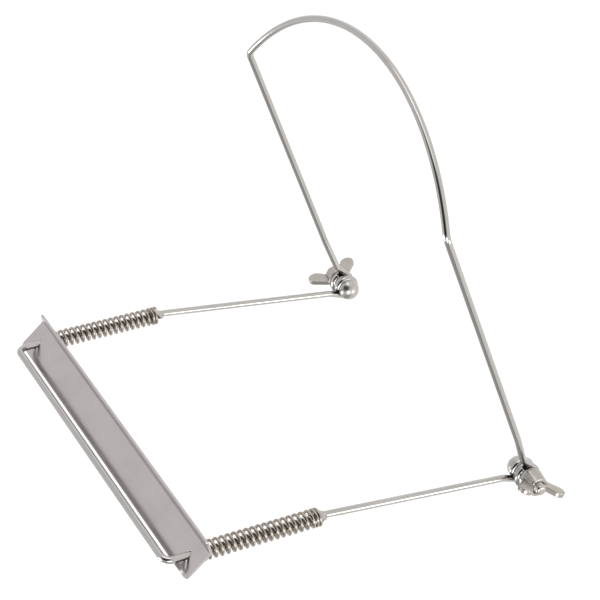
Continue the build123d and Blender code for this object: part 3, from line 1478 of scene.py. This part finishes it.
@dataclass(frozen=True)
class SoftLight:
    """A distant soft light, as even over the floor as over the holder."""

    name: str
    azimuth: float
    elevation: float
    spread: float
    strength: float

    def build(self) -> bpy.types.Object:
        """Hangs the light and aims it at the holder.

        Returns:
            The light object.
        """
        away = heading(self.azimuth, self.elevation)
        light = bpy.data.lights.new(self.name, "SUN")
        light.angle = math.radians(self.spread)
        light.energy = self.strength
        return hang_light(light, away, away)


@dataclass(frozen=True)
class SoftBox:
    """A near soft box that the bare wires mirror as a long highlight."""

    name: str
    azimuth: float
    elevation: float
    distance: float
    width: float
    height: float
    watts: float

    def build(self, target: Vector) -> bpy.types.Object:
        """Places the box round a target.

        Args:
            target: The point it faces.

        Returns:
            The light object.
        """
        away = heading(self.azimuth, self.elevation)
        light = bpy.data.lights.new(self.name, "AREA")
        light.shape = "RECTANGLE"
        light.size = self.width
        light.size_y = self.height
        light.energy = self.watts
        return hang_light(light, target + away * self.distance, away)


@dataclass
class Studio:
    """A white paper floor far below the holder, pale walls, soft lights and the camera."""

    hinge: Hinge
    floor_drop: float = 0.45
    floor_size: float = 60.0
    camera_azimuth: float = 36.14
    camera_elevation: float = 23.22
    camera_roll: float = -104.1
    camera_distance: float = 949.58 * MM
    aim_right: float = -57.69 * MM
    aim_up: float = 32.64 * MM
    lens: float = 127.0
    sensor: float = 36.0
    walls: str = "#F6F6F7"
    flag: str = "#3C3B3A"
    flag_azimuth: float = 60.0
    flag_elevation: float = 46.0
    flag_core: float = 24.0
    flag_edge: float = 46.0
    shade: str = "#BDBDBE"
    shade_azimuth: float = -62.0
    shade_core: float = 20.0
    shade_edge: float = 75.0
    lights: tuple[SoftLight, ...] = (
        SoftLight("front_light", -8.0, 27.0, 40.0, 1.0),
        SoftLight("side_light", 97.0, 2.0, 50.0, 0.7),
        SoftLight("rear_light", -130.0, 60.0, 30.0, 1.5),
    )
    strip_box: SoftBox = SoftBox("low_strip_box", -4.0, -24.0, 0.85, 0.24, 0.34, 1.6)

    def floor(self) -> bpy.types.Object:
        """The paper floor.

        Returns:
            The floor.
        """
        built = bmesh.new()
        bmesh.ops.create_grid(built, x_segments=8, y_segments=8, size=self.floor_size / 2)
        sheet = new_piece("studio_floor", built)
        sheet.location = (0, 0, cad_box[0].z - self.floor_drop)
        sheet.data.materials.append(PaperFloorFinish().build())
        return sheet

    def world(self) -> bpy.types.World:
        """White studio walls, shaded on one side, with a dark flag hung high beside the camera.

        Returns:
            The world.
        """
        world = bpy.data.worlds.new("studio_walls")
        world.use_nodes = True
        tree = world.node_tree
        tree.nodes.clear()
        facing = add_node(tree, "ShaderNodeTexCoord").outputs["Generated"]
        surround = None
        for colour, azimuth, elevation, core, edge in (
            (self.shade, self.shade_azimuth, 0.0, self.shade_core, self.shade_edge),
            (self.flag, self.flag_azimuth, self.flag_elevation, self.flag_core, self.flag_edge),
        ):
            towards = add_node(
                tree,
                "ShaderNodeVectorMath",
                {"operation": "DOT_PRODUCT", 1: heading(azimuth, elevation)},
                {0: facing},
            )
            share = add_node(
                tree,
                "ShaderNodeMapRange",
                {
                    "interpolation_type": "SMOOTHSTEP",
                    "From Min": math.cos(math.radians(edge)),
                    "From Max": math.cos(math.radians(core)),
                },
                {"Value": towards.outputs["Value"]},
            )
            links = {0: share.outputs["Result"]}
            if surround:
                links[6] = surround.outputs[2]
            surround = add_node(
                tree,
                "ShaderNodeMix",
                {"data_type": "RGBA", 6: linear_colour(self.walls), 7: linear_colour(colour)},
                links,
            )
        shader = add_node(tree, "ShaderNodeBackground", links={"Color": surround.outputs[2]})
        add_node(tree, "ShaderNodeOutputWorld", links={"Surface": shader.outputs["Background"]})
        bpy.context.scene.world = world
        return world

    def camera(self) -> bpy.types.Object:
        """The camera, rolled so that the holder lies across the picture.

        Returns:
            The camera object.
        """
        back = heading(self.camera_azimuth, self.camera_elevation)
        level = heading(self.camera_azimuth + 90.0, 0.0)
        roll = math.radians(self.camera_roll)
        right = level * math.cos(roll) + back.cross(level) * math.sin(roll)
        up = back.cross(right)
        lens = bpy.data.cameras.new("camera")
        lens.lens = self.lens
        lens.sensor_width = self.sensor
        camera = bpy.data.objects.new("camera", lens)
        aim = self.hinge.centre + right * self.aim_right + up * self.aim_up
        basis = Matrix((right, up, back)).transposed().to_4x4()
        camera.matrix_world = Matrix.Translation(aim + back * self.camera_distance) @ basis
        bpy.context.scene.collection.objects.link(camera)
        bpy.context.scene.camera = camera
        return camera

    def build(self) -> None:
        """Sets the studio up."""
        self.floor()
        self.world()
        for light in self.lights:
            light.build()
        self.strip_box.build(self.hinge.centre)
        self.camera()
        bpy.context.scene.view_settings.view_transform = "Standard"


def main() -> None:
    """Builds each piece, dresses it and sets the studio up."""
    logging.basicConfig(level=logging.INFO, format="%(name)s: %(message)s")
    hinge = Hinge()
    wire = WIRE_FINISH.build()
    spring = SPRING_FINISH.build()
    sheet = SHEET_FINISH.build()
    turned = TURNED_FINISH.build()
    cast = CAST_FINISH.build()

    dress(NeckYoke(hinge).build(), wire, "yoke", ["neck_yoke"])
    bail = HarpBail(hinge)
    dress(bail.build(), wire, "bail", ["harp_bail"])
    dress(ClampPlate(bail).build(), sheet, "clamp", ["clamp_plate"])
    # Angle at which each wing nut came tight, in degrees
    nut_turns = {Side.LEFT: 22.5, Side.RIGHT: -15.0}
    for side in Side:
        label = side.label
        node = f"spring_{label}"
        coil = dress(GuideSpring(side).build(), spring, "bail", [node])
        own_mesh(coil)
        bolt = HingeBolt(hinge, side).build()
        dress(bolt, turned, "yoke", [f"bolt_{label}"])
        for node, body in (("friction_washer", "yoke"), ("nut_washer", f"washer_{label}")):
            washer = StampedWasher(hinge, side, node).build()
            dress(washer, turned, body, [f"{node}_{label}"])
        nut = WingNut(hinge, side, nut_turns[side]).build()
        dress(nut, cast, f"nut_{label}", [f"wing_nut_{label}"])
    Studio(hinge).build()


if __name__ == "__main__":
    main()
